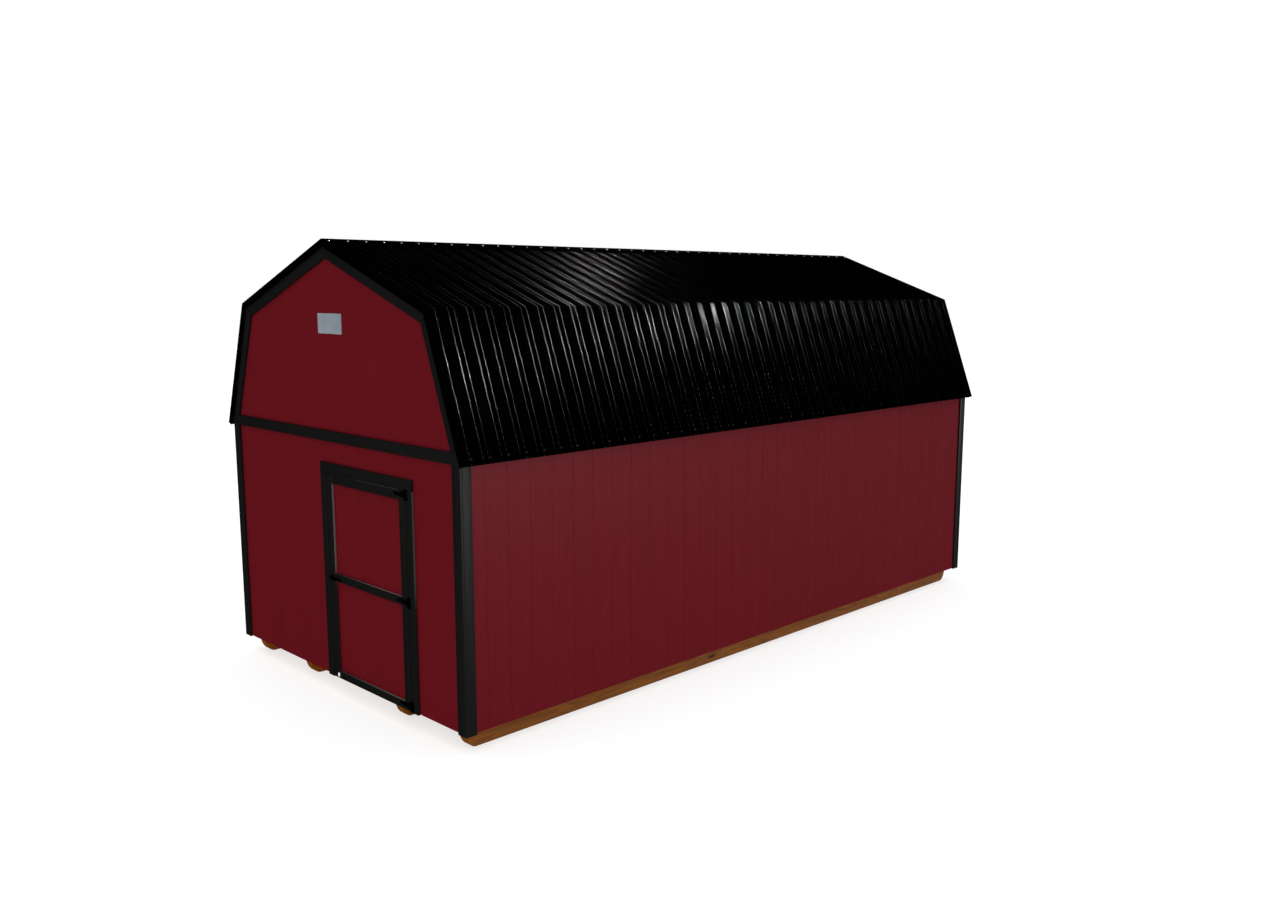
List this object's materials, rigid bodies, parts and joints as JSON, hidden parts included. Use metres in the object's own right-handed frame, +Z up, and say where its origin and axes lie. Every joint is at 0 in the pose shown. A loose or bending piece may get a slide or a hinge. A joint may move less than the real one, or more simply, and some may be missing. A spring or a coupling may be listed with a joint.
{
  "type": "lofted barn",
  "caption": "Gambrel-roofed timber storage barn on skids, with panel siding, a ribbed metal roof, dark trim boards and a hinged front door with a turning lever handle.",
  "frame": {"origin": "on the level floor that the skids rest on, under the middle of the building", "axes": "+Z up, +Y from the front gable (the one with the door) to the back gable, +X to the right when facing the front gable"},
  "size_m": [3.804, 7.422, 3.948],
  "materials": {
    "skid_wood": "treated timber, rough sawn",
    "framing_wood": "planed softwood",
    "deck_panel": "plywood",
    "siding_red": "painted engineered-wood siding, satin",
    "trim_black": "painted trim boards, satin",
    "roof_metal": "gloss black",
    "hardware_black": "satin black",
    "plate_metal": "satin",
    "bumper_white": "matt"
  },
  "bodies": {
    "structure": {"skids": "skid_wood", "floor_frame": "framing_wood", "floor_deck": "deck_panel", "left_wall_siding": "siding_red", "right_wall_siding": "siding_red", "front_siding_left": "siding_red", "front_siding_right": "siding_red", "front_siding_over_door": "siding_red", "front_gable_siding": "siding_red", "back_wall_siding": "siding_red", "back_gable_siding": "siding_red", "left_wall_studs": "framing_wood", "right_wall_studs": "framing_wood", "front_wall_studs": "framing_wood", "back_wall_studs": "framing_wood", "front_gable_studs": "framing_wood", "back_gable_studs": "framing_wood", "door_header": "framing_wood", "left_lower_rafters": "framing_wood", "right_lower_rafters": "framing_wood", "left_upper_rafters": "framing_wood", "right_upper_rafters": "framing_wood", "knee_gussets": "deck_panel", "left_lower_purlins": "framing_wood", "right_lower_purlins": "framing_wood", "left_upper_purlins": "framing_wood", "right_upper_purlins": "framing_wood", "ridge_board": "framing_wood", "left_lower_roofing": "roof_metal", "right_lower_roofing": "roof_metal", "left_upper_roofing": "roof_metal", "right_upper_roofing": "roof_metal", "ridge_cap": "roof_metal", "front_rake_flashing": "roof_metal", "back_rake_flashing": "roof_metal", "front_rake_boards": "trim_black", "back_rake_boards": "trim_black", "front_belt_board": "trim_black", "back_belt_board": "trim_black", "front_corner_boards": "trim_black", "back_corner_boards": "trim_black", "gable_plate": "plate_metal", "door_casing_left": "trim_black", "door_casing_right": "trim_black", "door_casing_top": "trim_black", "hinge_leaves": "hardware_black"},
    "door": {"door_panel": "siding_red", "door_frame": "framing_wood", "door_stiles": "trim_black", "door_rails": "trim_black", "hinge_straps": "hardware_black", "latch_plate": "hardware_black", "door_bumper": "bumper_white"},
    "latch": {"latch_handle": "hardware_black"}
  },
  "joints": [
    {"name": "door_hinge", "type": "hinge", "parent": "structure", "child": "door", "pos_m": [1.0905, -3.696, 1.07], "axis": [0, 0, 1], "range_deg": [0, 170]},
    {"name": "latch_turn", "type": "hinge", "parent": "door", "child": "latch", "pos_m": [-0.08, -3.708, 1.063], "axis": [0, 1, 0], "range_deg": [0, 90]}
  ]
}
